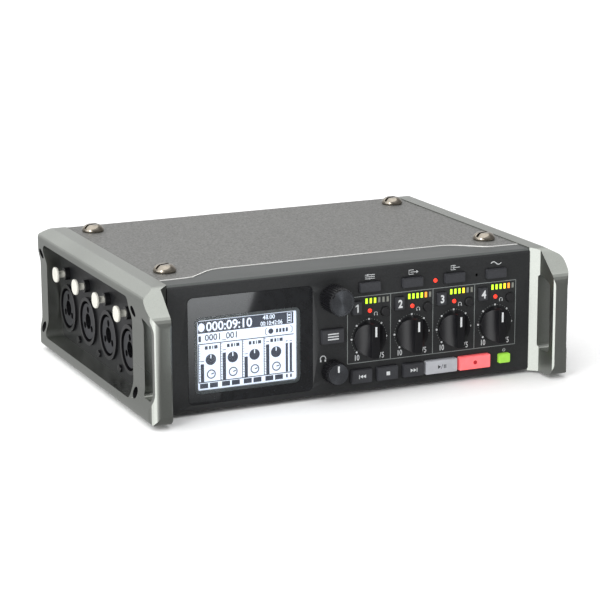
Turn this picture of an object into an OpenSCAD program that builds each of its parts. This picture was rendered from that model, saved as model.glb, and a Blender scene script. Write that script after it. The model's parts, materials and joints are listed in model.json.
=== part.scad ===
// Portable field recorder: a flat metal case with four combination inputs
// on its left side, outputs on its right side and all controls on the front.
// Millimetres. +Z up, the front faces -Y, z = 0 is the underside of the feet.

/* [Case] */

// Half width of the front panel and top cover
case_hw = 77.2; // [76.8:0.1:77.4]
// Half width over the side rails
rail_hw = 89; // [88:0.5:91]
// Front face of the control panel (distance in front of the origin)
face_d = 56.7; // [56.5:0.1:56.9]
// Rear face of the rear panel (distance behind the origin)
rear_d = 62.3; // [62.2:0.1:62.6]
// Underside of the case above the table
case_z0 = 1.5; // [1.5:0.1:1.6]
// Top face of the cover
case_z1 = 51.3; // [51:0.1:52]
// Thickness of the cover sheet
cover_t = 2; // [1.6:0.1:2]
// Thickness of the bottom and rear sheets
sheet_t = 1.8; // [1.5:0.1:1.8]
// Thickness of the front panel
panel_t = 2.5; // [2.4:0.1:2.6]

/* [Side frames] */

// Outer face of the jack panels behind the frames
jack_plane = 81.4; // [81.2:0.1:81.6]
// Outer face of the frame's upright pillars
pillar_hw = 87.4; // [86.8:0.1:88]
// How far the front guards stand ahead of the panel
guard_d = 13.8; // [12:0.1:15]
// Underside of the side frames
frame_z0 = 1; // [0.8:0.1:1.4]
// Top of the side frames
frame_z1 = 51.7; // [51.4:0.1:52.4]
// Rear end of the side frames
frame_rear = 66.2; // [65:0.1:67]

/* [Inputs and outputs] */

// Distance between neighbouring input sockets
jack_pitch = 24.75; // [24.5:0.05:25]
// Position of the foremost input socket along the case
jack_y0 = -27.3; // [-28:0.1:-27]
// Height of the socket centres
jack_z = 20.5; // [20:0.1:21]
// Radius of a socket's outer ring
jack_r = 9.8; // [9.4:0.1:10]
// Height of the release tabs
tab_z = 35.2; // [35:0.1:35.6]
// How far a release tab can be pushed in
tab_travel = 2; // [1:0.1:2.2]

/* [Controls] */

// Position of the first trim knob across the panel
trim_x0 = 6.1; // [6:0.1:6.2]
// Distance between neighbouring channels
trim_pitch = 18.54; // [18.4:0.02:18.6]
// Height of the trim knobs
trim_z = 22.5; // [22.3:0.1:22.7]
// Radius of a trim knob
trim_r = 6.85; // [6:0.05:7]
// Position of the encoder, menu button and headphone knob
enc_x = -9.9; // [-10:0.1:-9.8]
// Radius of the encoder knob
enc_r = 5.4; // [5:0.1:5.6]
// How far the encoder knob stands out
enc_h = 10; // [8:0.5:12]
// Radius of the headphone knob
phone_r = 4.6; // [4.2:0.1:4.8]
// Clearance around each button cap
btn_gap = 0.2; // [0.15:0.05:0.25]
// Radial clearance of every turning spindle
run_gap = 0.05; // [0.03:0.01:0.08]

/* [Hidden] */

$fn = 48;
fy = -face_d;
py = fy + panel_t;
side_in = jack_plane - 2;
cov_z0 = case_z1 - cover_t;
bot_z1 = case_z0 + sheet_t;
rp_y = rear_d - sheet_t;
gy = fy - guard_d;
screw_x = 69.2;
screw_ys = [-33.2, 50.3];
frame_ys = [-50.2, 60.9];
frame_zs = [10.1, 41.5];
win_y0 = -46.1;
win_y1 = 57.3;
win_z0 = 6.6;
win_z1 = 46.1;
disp_x = -43.6;
disp_z = 24.95;
disp_w = 51.5;
disp_h = 41.7;
lcd_x = -44.87;
lcd_z = 23;
board_y = -47;
top_z = 42.9;
top_x = [6.1, 24.6, 43.15, 61.7];
chan_z = 34.95;
pfl_z = 32.4;
keys_z = 7.7;
enc_z = 40.1;
menu_z = 25;
phone_z = 11.1;

// Points of an arc from angle a0 to a1
function arc(cx, cy, r, a0, a1, n = 6) =
    [for (i = [0:n]) [cx + r * cos(a0 + (a1 - a0) * i / n), cy + r * sin(a0 + (a1 - a0) * i / n)]];

// Smooth step used for the flowing sides of the frames
function ease(t) = t * t * (3 - 2 * t);
function blend(xa, za, xb, zb, n = 8) =
    [for (i = [0:n]) [xa + (xb - xa) * ease(i / n), za + (zb - za) * i / n]];

// Rounded rectangle centred on the origin
module rrect(w, h, r) {
    square([w - 2 * r, h], center = true);
    square([w, h - 2 * r], center = true);
    for (sx = [-1, 1]) for (sz = [-1, 1])
        translate([sx * (w / 2 - r), sz * (h / 2 - r)]) circle(r, $fn = 24);
}

// Box from one corner to the opposite corner
module box(a, b) {
    translate(a) cube(b - a);
}

// Places a front-facing outline: d is the distance ahead of the panel face
module fr(x, z, d) {
    translate([x, fy - d, z]) rotate([90, 0, 0]) children();
}

// Extrudes a (y, z) outline from x0 to x1
module along_x(x0, x1) {
    translate([x0, 0, 0]) rotate([90, 0, 90]) linear_extrude(x1 - x0) children();
}

// Extrudes an (x, z) outline from y0 to y1
module along_y(y0, y1) {
    translate([0, y1, 0]) rotate([90, 0, 0]) linear_extrude(y1 - y0) children();
}

// Cylinder along X from x0 to x1
module xcyl(x0, x1, y, z, r) {
    translate([x0, y, z]) rotate([0, 90, 0]) cylinder(r = r, h = x1 - x0);
}

// Cylinder along Y from y0 to y1
module ycyl(y0, y1, x, z, r) {
    translate([x, y1, z]) rotate([90, 0, 0]) cylinder(r = r, h = y1 - y0);
}

// ---- outer case ----

// Area of the top that belongs to the front panel, seen from above
seam = [[-case_hw, -47.6], [-65.5, -47.2], [-63, -46.6], [-60.5, -44.6], [-54.5, -39.6],
    [-51.5, -38], [-48, -37.2], [48, -37.2], [51.5, -38], [54.5, -39.6], [60.5, -44.6],
    [63, -46.6], [65.5, -47.2], [case_hw, -47.6]];

module button_hole(x, z, w, h) {
    fr(x, z, -panel_t - 1) linear_extrude(panel_t + 2) rrect(w + 2 * btn_gap, h + 2 * btn_gap, 0.6);
}

module front_panel() {
    color([0.18, 0.185, 0.19]) difference() {
        union() {
            along_x(-case_hw, case_hw)
                polygon([[fy, case_z0 + 0.6], [fy, case_z1 - 1.5], [fy + 0.35, case_z1 - 0.7],
                    [fy + 1.3, case_z1], [py, case_z1], [py, case_z0], [fy + 0.6, case_z0]]);
            translate([0, 0, cov_z0]) linear_extrude(cover_t)
                polygon(concat([[-case_hw, py - 0.1]], seam, [[case_hw, py - 0.1]]));
            for (x = [15.4, 52.5, 73.4]) ycyl(py - 0.1, board_y, x, trim_z, 2.2);
        }
        fr(disp_x, disp_z, -1.4) linear_extrude(3) rrect(disp_w, disp_h, 2.2);
        fr(lcd_x, lcd_z, -panel_t - 1) linear_extrude(panel_t + 1) rrect(43, 29.6, 1);
        for (x = top_x) button_hole(x, top_z, 8.85, 3.8);
        button_hole(enc_x, menu_z, 9.4, 5.6);
        for (i = [0:3]) {
            button_hole(0.6 + i * 18.45, chan_z, 3.9, 5.1);
            fr(12.95 + i * 18.45, pfl_z, -4) linear_extrude(6) circle(1.75 + btn_gap);
            fr(trim_x0 + i * trim_pitch, trim_z, -4) linear_extrude(6) circle(3.5);
            fr(6.4 + i * 18.47, 33.3, -4) linear_extrude(6) circle(0.85);
            for (k = [0:5])
                fr(5 + i * 18.5 + k * 1.82, 37.2, -4) linear_extrude(6) square([0.96, 2.1], center = true);
        }
        fr(34.9, 42.5, -4) linear_extrude(6) circle(0.85);
        fr(53.3, 42.9, -4) linear_extrude(6) circle(0.6);
        fr(enc_x, enc_z, -4) linear_extrude(6) circle(3.5);
        fr(enc_x, phone_z, -4) linear_extrude(6) circle(3.1);
        for (x = [2.4, 13.65, 25]) button_hole(x, keys_z, 8.9, 5.4);
        for (x = [37.3, 52.2]) button_hole(x, keys_z, 13.9, 5.4);
        button_hole(65.9, keys_z, 5, 3.7);
    }
}

module display_window() {
    color([0.05, 0.06, 0.07, 0.8])
        fr(disp_x, disp_z, -1.4) linear_extrude(1.45) rrect(disp_w - 0.2, disp_h - 0.2, 2.1);
}

module lcd_module() {
    color([0.75, 0.82, 0.9]) union() {
        fr(lcd_x, lcd_z, -1.5) rotate([180, 0, 0]) linear_extrude(1.2) square([42, 28.6], center = true);
        box([lcd_x - 23.2, py + 0.1, 5.6], [lcd_x + 23.2, py + 4.6, 40.4]);
        box([lcd_x - 23.2, py + 4.6, 8], [lcd_x - 17, py + 5.6, 38]);
    }
}

module top_cover() {
    color([0.54, 0.53, 0.51]) difference() {
        translate([0, 0, cov_z0]) linear_extrude(cover_t) difference() {
            polygon([[-case_hw, fy], [case_hw, fy], [case_hw, rear_d], [-case_hw, rear_d]]);
            polygon(concat([[-case_hw - 1, fy - 1]], [[-case_hw - 1, -47.6]], seam,
                [[case_hw + 1, -47.6]], [[case_hw + 1, fy - 1]]));
        }
        for (sx = [-1, 1]) for (y = screw_ys)
            translate([sx * screw_x, y, cov_z0 - 1]) cylinder(r = 1.6, h = cover_t + 2);
    }
}

module bottom_chassis() {
    color([0.2, 0.2, 0.21]) difference() {
        union() {
            box([-case_hw, py, case_z0], [case_hw, rear_d, bot_z1]);
            translate([0, -15, bot_z1 - 0.1]) cylinder(r = 8, h = 8);
            for (sx = [-1, 1]) {
                translate([sx * 45, -38, bot_z1 - 0.1]) cylinder(r = 3, h = 40);
                translate([sx * 40, 45, bot_z1 - 0.1]) cylinder(r = 3, h = 40);
            }
        }
        translate([0, -15, case_z0 - 1]) cylinder(r = 3.175, h = 9.5);
        for (sx = [-1, 1]) for (y = [-25, 35])
            translate([sx * 73.5, y, case_z0 - 1]) {
                cylinder(r = 1.3, h = 5);
                cylinder(r = 2.3, h = 1.9);
            }
        for (x = [-24:8:24]) translate([x, 12, case_z0 - 1]) linear_extrude(4) rrect(3, 16, 1.2);
        for (x = [-48:8:-40]) translate([x, -8, case_z0 - 1]) linear_extrude(4) rrect(3, 16, 1.2);
        for (x = [40:8:48]) translate([x, -8, case_z0 - 1]) linear_extrude(4) rrect(3, 16, 1.2);
    }
}

// Side view of a frame: y runs back, z up
function frame_outline() = concat(
    arc(gy + 5, frame_z0 + 5, 5, 180, 270), arc(frame_rear - 4, frame_z0 + 4, 4, 270, 360),
    arc(frame_rear - 5, frame_z1 - 5, 5, 0, 90), arc(-55.5, frame_z1 - 8, 8, 90, 122, 4),
    arc(gy + 6, 38.4, 6, 122, 180, 5));

// Front view of a frame's rails and pillars
function frame_section() = concat(
    [[case_hw, frame_z0]], arc(rail_hw - 3, frame_z0 + 3, 3, 270, 360, 5),
    blend(rail_hw, 6.5, pillar_hw, 14), blend(pillar_hw, 36.5, rail_hw, 44.5),
    arc(rail_hw - 2.6, 47, 2.6, 0, 66, 4), [[83.2, frame_z1], [case_hw, frame_z1]]);

// Plan view of a frame: the guard steps outward ahead of the panel
function frame_plan() = concat(
    [[case_hw, frame_rear + 1], [case_hw, fy + 0.4]], [[80.7, fy - 2.4], [80.7, gy + 0.6], [81.4, gy]],
    [[84.6, gy]], arc(84.6, gy + 4.2, 4.2, 288, 350, 4),
    [[rail_hw, gy + 5.2], [rail_hw, frame_rear - 3]], arc(rail_hw - 3, frame_rear - 3, 3, 0, 90, 4));

// Hand slot through the guard, following the outline of the frame
function guard_slot() = concat(
    arc(-65.3, 12.3, 1.8, 180, 270, 4), arc(-60.4, 12.3, 1.8, 270, 360, 4),
    [[-58.6, 40.2]], [[-59.4, 41.1]], arc(-65.2, 37.3, 1.9, 122, 180, 4));

module side_frame() {
    difference() {
        intersection() {
            union() {
                along_x(jack_plane, rail_hw) polygon(frame_outline());
                along_x(case_hw, jack_plane) difference() {
                    polygon(frame_outline());
                    translate([py, bot_z1]) square([rear_d - py, cov_z0 - bot_z1]);
                }
            }
            along_y(gy - 1, frame_rear + 1) polygon(frame_section());
            linear_extrude(60) polygon(frame_plan());
        }
        along_x(jack_plane - 1, rail_hw + 1) translate([(win_y0 + win_y1) / 2, (win_z0 + win_z1) / 2])
            rrect(win_y1 - win_y0, win_z1 - win_z0, 3);
        along_x(case_hw - 1, rail_hw + 1) polygon(guard_slot());
        for (y = frame_ys) for (z = frame_zs) {
            xcyl(jack_plane + 3, rail_hw + 1, y, z, 2.2);
            xcyl(jack_plane - 1, rail_hw, y, z, 1.3);
        }
    }
}

module right_side_frame() {
    color([0.63, 0.64, 0.63]) side_frame();
}

module left_side_frame() {
    color([0.63, 0.64, 0.63]) mirror([1, 0, 0]) side_frame();
}

// Side sheet with folded top and bottom flanges and captive nuts
module side_sheet() {
    difference() {
        union() {
            box([side_in, py, bot_z1], [jack_plane, rear_d, cov_z0]);
            box([62, py + 0.1, cov_z0 - 2], [side_in + 0.1, rp_y - 0.1, cov_z0]);
            box([70, -40, bot_z1], [side_in + 0.1, 58, bot_z1 + 1.8]);
            for (y = screw_ys) translate([screw_x, y, 43]) cylinder(r = 3.2, h = 5);
        }
        for (y = screw_ys) translate([screw_x, y, 42]) cylinder(r = 1.55, h = 10);
        for (y = frame_ys) for (z = frame_zs) xcyl(side_in - 1, jack_plane + 1, y, z, 1.3);
        for (y = [-25, 35]) translate([73.5, y, bot_z1 - 1]) cylinder(r = 1.3, h = 5);
    }
}

module left_jack_panel() {
    color([0.16, 0.16, 0.17]) difference() {
        mirror([1, 0, 0]) side_sheet();
        for (i = [0:3]) {
            xcyl(-jack_plane - 1, -side_in + 1, jack_y0 + i * jack_pitch, jack_z, jack_r + 0.05);
            xcyl(-jack_plane - 1, -side_in + 1, jack_y0 + i * jack_pitch, tab_z, 2.65);
        }
        for (i = [0:2]) xcyl(-jack_plane - 1, -side_in + 1, jack_y0 + (i + 0.5) * jack_pitch, 10, 0.95);
    }
}

card_y0 = 28.5;
card_y1 = 54.5;
pivot_x = 82.9;
pivot_z = 10;

module right_jack_panel() {
    color([0.16, 0.16, 0.17]) {
        difference() {
            side_sheet();
            for (i = [0:1])
                xcyl(side_in - 1, jack_plane + 1, jack_y0 + i * jack_pitch, jack_z, jack_r + 0.05);
            xcyl(side_in - 1, jack_plane + 1, 17.4, 14, 4.6);
            for (z = [26, 36]) xcyl(side_in - 1, jack_plane + 1, 17.4, z, 3.05);
            box([side_in - 1, 30.5, 13.5], [jack_plane + 1, 52.5, 33]);
        }
        for (y = [card_y0 + 0.3, card_y1 - 2.3]) box([jack_plane - 0.1, y, 8.6], [pivot_x + 1.1, y + 2, 11]);
        ycyl(card_y0 + 2.2, card_y0 + 4.5, pivot_x, pivot_z, 0.8);
        ycyl(card_y1 - 4.5, card_y1 - 2.2, pivot_x, pivot_z, 0.8);
    }
}

module card_door() {
    color([0.13, 0.13, 0.14]) difference() {
        union() {
            difference() {
                box([jack_plane + 0.1, card_y0, pivot_z + 1.2], [jack_plane + 1.7, card_y1, 35.2]);
                for (y = [card_y0 - 1, card_y1 - 2.5])
                    box([jack_plane, y, pivot_z], [jack_plane + 3, y + 3.5, pivot_z + 3.6]);
                along_x(jack_plane + 1.2, jack_plane + 2) translate([41.5, 30.6]) rrect(10, 2.6, 1.2);
            }
            box([jack_plane + 0.25, card_y0 + 2.6, pivot_z], [jack_plane + 1.7, card_y1 - 2.6, pivot_z + 1.3]);
            ycyl(card_y0 + 2.6, card_y1 - 2.6, pivot_x, pivot_z, 1.3);
        }
        ycyl(card_y0 + 1, card_y1 - 1, pivot_x, pivot_z, 0.8 + run_gap);
    }
}

module card_slots() {
    color([0.7, 0.71, 0.72]) {
        for (z = [16.5, 26]) difference() {
            box([49, 28.6, z - 0.2], [side_in - 0.2, 54.4, z + 4]);
            box([52, 29.3, z + 0.6], [side_in + 1, 53.7, z + 3.3]);
        }
        box([48, 28, 22], [side_in - 0.3, 55, 23.6]);
        box([52, 30, 20.2], [70, 53, 22.1]);
        box([52, 30, 23.5], [70, 53, 25.9]);
    }
}

module rear_panel() {
    color([0.17, 0.17, 0.18]) difference() {
        box([-side_in, rp_y, bot_z1], [side_in, rear_d, cov_z0]);
        box([-32, rp_y - 1, 6.6], [32, rear_d + 1, 40.4]);
        for (z = [14, 34]) ycyl(rp_y - 1, rear_d + 1, -44, z, 4.9);
        ycyl(rp_y - 1, rear_d + 1, 46, 15, 6.05);
        box([41.4, rp_y - 1, 32.2], [50.6, rear_d + 1, 36]);
    }
}

module cover_screw(x, y) {
    translate([x, y, case_z1]) difference() {
        union() {
            rotate_extrude() polygon([[0, 0], [4.3, 0], [4.5, 0.3], [4.5, 0.9], [4.2, 1.6], [3.7, 2.2],
                [3.2, 2.6], [2.6, 2.9], [2.2, 3], [0, 3]]);
            translate([0, 0, -7.6]) cylinder(r = 1.5, h = 7.7);
        }
        rotate([0, 0, 20]) translate([-6, -0.6, 1.5]) cube([12, 1.2, 3]);
    }
}

module cover_screws() {
    color([0.8, 0.77, 0.7]) for (sx = [-1, 1]) for (y = screw_ys) cover_screw(sx * screw_x, y);
}

// Socket-head frame screw pointing inward from the right side
module frame_screw(y, z) {
    difference() {
        union() {
            xcyl(jack_plane + 3, jack_plane + 4.6, y, z, 2.05);
            xcyl(side_in, jack_plane + 3.1, y, z, 1.25);
        }
        translate([jack_plane + 3.6, y, z]) rotate([0, 90, 0]) cylinder(r = 1.1, h = 3, $fn = 6);
    }
}

module case_screws() {
    color([0.3, 0.3, 0.31]) {
        for (y = frame_ys) for (z = frame_zs) {
            frame_screw(y, z);
            mirror([1, 0, 0]) frame_screw(y, z);
        }
        for (i = [0:2]) {
            xcyl(-jack_plane - 0.9, -jack_plane, jack_y0 + (i + 0.5) * jack_pitch, 10, 1.5);
            xcyl(-jack_plane - 0.1, -side_in, jack_y0 + (i + 0.5) * jack_pitch, 10, 0.9);
        }
        for (sx = [-1, 1]) for (y = [-25, 35]) translate([sx * 73.5, y, case_z0]) {
            difference() {
                cylinder(r = 2.2, h = 0.9);
                translate([-3, -0.4, -1]) cube([6, 0.8, 1.5]);
            }
            translate([0, 0, 0.8]) cylinder(r = 1.25, h = 2.8);
        }
    }
}

module rubber_feet() {
    color([0.08, 0.08, 0.08]) for (sx = [-1, 1]) for (y = [-44, 48])
        translate([sx * 60, y, 0]) rotate_extrude()
            polygon([[0, 0], [5.2, 0], [5.8, 0.4], [6, 1.5], [0, 1.5]]);
}

// ---- sockets ----

// Combination input: ring, plug face with three pin holes and a centre hole
module input_jack(y) {
    difference() {
        union() {
            xcyl(-jack_plane - 1, -side_in + 0.1, y, jack_z, jack_r);
            xcyl(-jack_plane - 2.1, -side_in + 0.1, y, tab_z, 2.6);
            box([-side_in, y - 12, 7], [-55, y + 12, 38.6]);
            box([-55, y - 9, 11], [-54.2, y + 9, 34]);
        }
        translate([-jack_plane - 2, y, jack_z]) rotate([0, 90, 0]) difference() {
            cylinder(r = 8.3, h = 4.4);
            translate([0, 0, 1.6]) cylinder(r = 7.3, h = 4);
        }
        xcyl(-jack_plane - 3, -60, y, jack_z, 3.2);
        for (a = [0, 120, 240])
            xcyl(-jack_plane - 3, -68, y + 4.75 * sin(a), jack_z + 4.75 * cos(a), 1.35);
        xcyl(-jack_plane - 3, -73.5, y, tab_z, 1.4 + run_gap);
    }
}

module input_jacks() {
    color([0.1, 0.1, 0.11]) for (i = [0:3]) input_jack(jack_y0 + i * jack_pitch);
}

module latch_tab(i) {
    y = jack_y0 + i * jack_pitch;
    color([0.86, 0.86, 0.83]) union() {
        along_x(-87.4, -86.3) translate([y, tab_z]) rrect(6.6, 6.2, 2.9);
        xcyl(-86.4, -76, y, tab_z, 1.4);
    }
}

// Three-pin output: open cup with a key at the top
module output_jack(y) {
    difference() {
        union() {
            xcyl(side_in - 0.1, jack_plane + 1, y, jack_z, jack_r);
            box([58, y - 12, 8], [side_in, y + 12, 33]);
        }
        difference() {
            xcyl(66, jack_plane + 2, y, jack_z, 8.5);
            box([65, y - 1.6, jack_z + 7.2], [jack_plane - 1, y + 1.6, jack_z + 9]);
        }
        for (a = [60, 180, 300])
            xcyl(62, 67, y + 4.75 * sin(a), jack_z + 4.75 * cos(a), 1.2);
    }
}

module output_jacks() {
    color([0.1, 0.1, 0.11]) for (i = [0:1]) output_jack(jack_y0 + i * jack_pitch);
}

module output_pins() {
    color([0.78, 0.7, 0.45]) for (i = [0:1]) for (a = [60, 180, 300])
        xcyl(62, 78.5, jack_y0 + i * jack_pitch + 4.75 * sin(a), jack_z + 4.75 * cos(a), 1.2);
}

module audio_jacks() {
    color([0.12, 0.12, 0.13]) {
        difference() {
            union() {
                xcyl(side_in - 0.1, jack_plane + 2.4, 17.4, 14, 4.5);
                translate([jack_plane, 17.4, 14]) rotate([0, 90, 0]) cylinder(r = 6, h = 1.4, $fn = 6);
                box([58, 11.2, 7.5], [side_in, 23.6, 20.5]);
            }
            xcyl(62, jack_plane + 4, 17.4, 14, 3.2);
        }
        for (z = [26, 36]) difference() {
            union() {
                xcyl(side_in - 0.1, jack_plane + 1.2, 17.4, z, 3);
                box([65, 13, z - 4], [side_in, 21.8, z + 4]);
            }
            xcyl(66, jack_plane + 2, 17.4, z, 1.8);
        }
    }
}

module bnc_sockets() {
    color([0.75, 0.73, 0.68]) for (z = [14, 34]) {
        difference() {
            union() {
                ycyl(rp_y - 6, 70.5, -44, z, 4.8);
                translate([-44, rear_d + 1.6, z]) rotate([90, 0, 0]) cylinder(r = 7, h = 1.6, $fn = 6);
                ycyl(rp_y - 1.6, rp_y, -44, z, 6.4);
                xcyl(-49.8, -38.2, 68.4, z, 0.95);
            }
            ycyl(rear_d - 1, 71, -44, z, 4.05);
        }
        difference() {
            ycyl(rear_d - 1.1, 69, -44, z, 2.6);
            ycyl(rear_d, 70, -44, z, 0.7);
        }
    }
}

module dc_socket() {
    color([0.2, 0.2, 0.2]) difference() {
        union() {
            ycyl(rp_y - 4.6, rear_d + 2.4, 46, 15, 6);
            ycyl(rear_d, rear_d + 1, 46, 15, 7.4);
        }
        difference() {
            ycyl(rp_y - 2, rear_d + 3, 46, 15, 4.9);
            ycyl(rp_y - 3, rear_d + 1.6, 46, 15, 2.6);
        }
    }
}

module usb_port() {
    color([0.7, 0.7, 0.7]) difference() {
        box([41.5, rp_y - 6, 32.3], [50.5, rear_d + 0.4, 35.9]);
        box([42.1, rp_y - 4, 32.9], [49.9, rear_d + 1, 35.3]);
    }
    color([0.1, 0.1, 0.1]) box([43.4, rp_y - 4.1, 33.8], [48.6, rear_d - 0.4, 34.5]);
}

// ---- boards and battery ----

module led_lenses() {
    color([0.6, 0.7, 0.5]) {
        for (i = [0:3]) {
            for (k = [0:5])
                fr(5 + i * 18.5 + k * 1.82, 37.2, -panel_t - 1.2)
                    linear_extrude(panel_t + 1.25) square([0.9, 2.04], center = true);
            fr(6.4 + i * 18.47, 33.3, -panel_t - 1.2) linear_extrude(panel_t + 1.4) circle(0.8);
        }
        fr(34.9, 42.5, -panel_t - 1.2) linear_extrude(panel_t + 1.4) circle(0.8);
    }
}

module main_board() {
    color([0.06, 0.3, 0.16]) union() {
        box([-58, -43, 43.2], [58, 57, 44.8]);
        for (x = [-44, -12, 20]) for (y = [-28, 8]) box([x, y, 44.7], [x + 16, y + 16, 46.4]);
        for (x = [-50:8:46]) box([x, 36, 44.7], [x + 4, 44, 46.8]);
        for (sx = [-1, 1]) box([sx * 50 - 4, -20, 44.7], [sx * 50 + 4, 14, 48.4]);
    }
}

switch_xz = concat([for (x = top_x) [x, top_z]], [[enc_x, menu_z]],
    [for (i = [0:3]) [0.6 + i * 18.45, chan_z]], [for (i = [0:3]) [12.95 + i * 18.45, pfl_z]],
    [for (x = [2.4, 13.65, 25, 37.3, 52.2, 65.9]) [x, keys_z]]);

module control_board() {
    color([0.06, 0.28, 0.15]) union() {
        box([-18, board_y, 4.6], [76, board_y + 1.6, 47]);
        for (p = switch_xz)
            box([p[0] - 1.6, board_y - 2, p[1] - 1.6], [p[0] + 1.6, board_y + 0.1, p[1] + 1.6]);
        for (x = [4, 40]) box([x, board_y + 1.5, 12], [x + 18, board_y + 4, 30]);
    }
}

module pot(x, z, s, rb, rs) {
    difference() {
        union() {
            box([x - s / 2, py + 0.3, z - s / 2], [x + s / 2, board_y, z + s / 2]);
            ycyl(fy - 0.2, py + 0.4, x, z, rb);
        }
        ycyl(fy - 1, board_y - 1.6, x, z, rs + run_gap);
    }
}

module potentiometers() {
    color([0.6, 0.6, 0.58]) {
        for (i = [0:3]) pot(trim_x0 + i * trim_pitch, trim_z, 11, 3.4, 2.9);
        pot(enc_x, enc_z, 11, 3.4, 2.5);
        pot(enc_x, phone_z, 9, 3, 2.4);
    }
}

module battery_box() {
    color([0.22, 0.22, 0.23]) difference() {
        box([-33.2, 4.6, 5.4], [33.2, rp_y, 41.6]);
        box([-31.9, 6, 6.7], [31.9, rp_y + 1, 40.3]);
    }
    color([0.22, 0.22, 0.23]) for (sx = [-1, 1]) box([sx * 24 - 4, 20, bot_z1], [sx * 24 + 4, 50, 5.5]);
}

module battery_sled() {
    color([0.12, 0.12, 0.12]) difference() {
        box([-31.6, 7, 7], [31.6, rear_d, 40]);
        box([-30.4, 8.2, 24.1], [30.4, 59.8, 41]);
        box([-30.4, 8.2, 6], [30.4, 59.8, 22.9]);
    }
}

module battery_cells() {
    color([0.55, 0.42, 0.2]) for (i = [-1.5:1:1.5]) for (z = [15.8, 31.2])
        translate([i * 14.8, 9.2, z]) rotate([-90, 0, 0]) {
            cylinder(r = 7.05, h = 48.6);
            translate([0, 0, 48.5]) cylinder(r = 2.7, h = 1.2);
        }
}

module battery_cover() {
    color([0.13, 0.13, 0.14]) difference() {
        union() {
            along_y(rear_d + 0.05, rear_d + 2.6) translate([0, 23.5]) rrect(69, 38, 2);
            for (i = [0:4]) box([-12, rear_d + 2.5, 31 + i * 1.8], [12, rear_d + 3.4, 31.9 + i * 1.8]);
            for (sx = [-1, 1]) box([sx * 26 - 3, rear_d + 0, 15], [sx * 26 + 3, rear_d + 0.2, 30]);
        }
        for (sx = [-1, 1]) ycyl(rear_d + 1.4, rear_d + 4, sx * 29, 23.5, 2.2);
    }
}

// ---- controls ----

dark = [0.13, 0.13, 0.14];

// Push button with a flange that keeps it behind the panel and a stem to its switch
module button(x, z, w, h, p) {
    union() {
        fr(x, z, -panel_t - 0.2) linear_extrude(panel_t + 0.2 + p - 0.3) rrect(w, h, 0.5);
        fr(x, z, p - 0.35) linear_extrude(0.35) rrect(w - 0.5, h - 0.5, 0.5);
        fr(x, z, -panel_t - 0.9) linear_extrude(0.8) rrect(w, h + 1.6, 0.5);
        fr(x, z, -6.9) linear_extrude(6.9 - panel_t - 0.8) square([2.4, 2.4], center = true);
    }
}

module pfl_button(i) {
    x = 12.95 + i * 18.45;
    color([0.12, 0.12, 0.13]) union() {
        fr(x, pfl_z, -panel_t - 0.2) linear_extrude(panel_t + 1.1) circle(1.75);
        fr(x, pfl_z, -panel_t - 0.9) linear_extrude(0.8) circle(2.4);
        fr(x, pfl_z, -6.9) linear_extrude(6.9 - panel_t - 0.8) square([2.4, 2.4], center = true);
    }
}

// Knob with a raised grip bar and a pointer notch at its upper end
module trim_knob(i) {
    x = trim_x0 + i * trim_pitch;
    color([0.07, 0.07, 0.08]) fr(x, trim_z, 0.4) {
        difference() {
            cylinder(r = trim_r, h = 6, $fn = 64);
            for (sx = [-1, 1])
                translate([sx * 7.5, 0, 6.9]) rotate([90, 0, 0]) cylinder(r = 6, h = 20, center = true);
            translate([0, 3.7, 6]) cube([0.9, 4, 0.4], center = true);
        }
        translate([0, 0, -7]) cylinder(r = 2.9, h = 7.1);
    }
}

module fluted(r, n, depth) {
    difference() {
        circle(r, $fn = 64);
        for (k = [0:n - 1]) rotate(k * 360 / n) translate([r + 0.1, 0]) circle(depth + 0.1, $fn = 16);
    }
}

module encoder_knob() {
    color([0.08, 0.08, 0.09]) fr(enc_x, enc_z, 0.7) difference() {
        union() {
            linear_extrude(enc_h - 1.1) fluted(enc_r, 30, 0.32);
            cylinder(r = enc_r - 0.5, h = enc_h - 0.7);
        }
        translate([0, 0, -1]) cylinder(r = 2.5 + run_gap, h = 7.5);
        translate([0, 0, enc_h - 1]) cylinder(r = enc_r - 1.1, h = 1);
    }
}

module encoder_shaft() {
    color([0.7, 0.7, 0.7]) fr(enc_x, enc_z, -6) cylinder(r = 2.5, h = 13);
}

module headphone_knob() {
    color([0.08, 0.08, 0.09]) fr(enc_x, phone_z, 0.4) {
        difference() {
            union() {
                linear_extrude(4.9) fluted(phone_r, 24, 0.28);
                cylinder(r = phone_r - 0.55, h = 6.1);
            }
            translate([0, 2.3, 6.1]) cube([0.8, 2.6, 0.4], center = true);
        }
        translate([0, 0, -7]) cylinder(r = 2.4, h = 7.1);
    }
}

front_panel();
display_window();
lcd_module();
top_cover();
bottom_chassis();
left_side_frame();
right_side_frame();
left_jack_panel();
right_jack_panel();
rear_panel();
cover_screws();
case_screws();
rubber_feet();
input_jacks();
output_jacks();
output_pins();
audio_jacks();
bnc_sockets();
dc_socket();
usb_port();
led_lenses();
main_board();
control_board();
potentiometers();
battery_box();
card_slots();
encoder_shaft();
encoder_knob();
trim_knob(0);  // trim_knob_1
trim_knob(1);  // trim_knob_2
trim_knob(2);  // trim_knob_3
trim_knob(3);  // trim_knob_4
headphone_knob();
color(dark) button(enc_x, menu_z, 9.4, 5.6, 1.6);  // menu_button
color(dark) button(top_x[0], top_z, 8.85, 3.8, 1.5);  // option_button
color(dark) button(top_x[1], top_z, 8.85, 3.8, 1.5);  // output_button
color(dark) button(top_x[2], top_z, 8.85, 3.8, 1.5);  // input_button
color(dark) button(top_x[3], top_z, 8.85, 3.8, 1.5);  // slate_button
color(dark) button(0.6, chan_z, 3.9, 5.1, 1.3);  // track_button_1
color(dark) button(19.05, chan_z, 3.9, 5.1, 1.3);  // track_button_2
color(dark) button(37.5, chan_z, 3.9, 5.1, 1.3);  // track_button_3
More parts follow.
